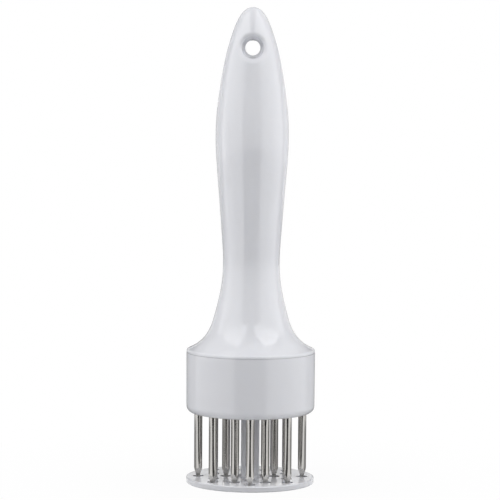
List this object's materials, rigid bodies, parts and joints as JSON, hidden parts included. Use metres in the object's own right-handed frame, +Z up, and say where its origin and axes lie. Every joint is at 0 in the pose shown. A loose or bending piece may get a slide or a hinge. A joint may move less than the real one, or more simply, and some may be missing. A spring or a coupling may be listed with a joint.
{
  "type": "blade meat tenderizer",
  "caption": "Hand-held plunger meat tenderizer: a tapering white handle with a hang hole, a round collar, and steel needles that pass through a spring-loaded guard plate.",
  "frame": {"origin": "centre of the guard plate's underside, on the surface the tool stands on", "axes": "+Z up along the handle, +Y along the hang hole, away from the viewer"},
  "size_m": [0.0556, 0.0556, 0.205],
  "materials": {
    "white_gloss_plastic": "gloss",
    "needle_steel": "polished",
    "natural_plastic": "matte",
    "steel_sheet": "brushed",
    "zinc_steel": "zinc plated",
    "spring_steel": "bright drawn"
  },
  "bodies": {
    "handle_assembly": {"handle": "white_gloss_plastic", "collar": "white_gloss_plastic", "needle_carrier": "natural_plastic", "thrust_plate": "steel_sheet", "carrier_screws": "zinc_steel", "return_spring": "spring_steel", "needle_01": "needle_steel", "needle_02": "needle_steel", "needle_03": "needle_steel", "needle_04": "needle_steel", "needle_05": "needle_steel", "needle_06": "needle_steel", "needle_07": "needle_steel", "needle_08": "needle_steel", "needle_09": "needle_steel", "needle_10": "needle_steel", "needle_11": "needle_steel", "needle_12": "needle_steel", "needle_13": "needle_steel", "needle_14": "needle_steel", "needle_15": "needle_steel", "needle_16": "needle_steel", "needle_17": "needle_steel", "needle_18": "needle_steel", "needle_19": "needle_steel", "needle_20": "needle_steel"},
    "guard": {"guard_plate": "white_gloss_plastic", "stop_washer": "zinc_steel", "stop_screw": "zinc_steel"}
  },
  "joints": [
    {"name": "guard_slide", "type": "slide", "parent": "handle_assembly", "child": "guard", "axis": [0, 0, 1], "range_m": [0, 0.0275], "stiffness_N_per_m": 630, "springref_m": -0.014, "deforming": ["return_spring"]}
  ]
}
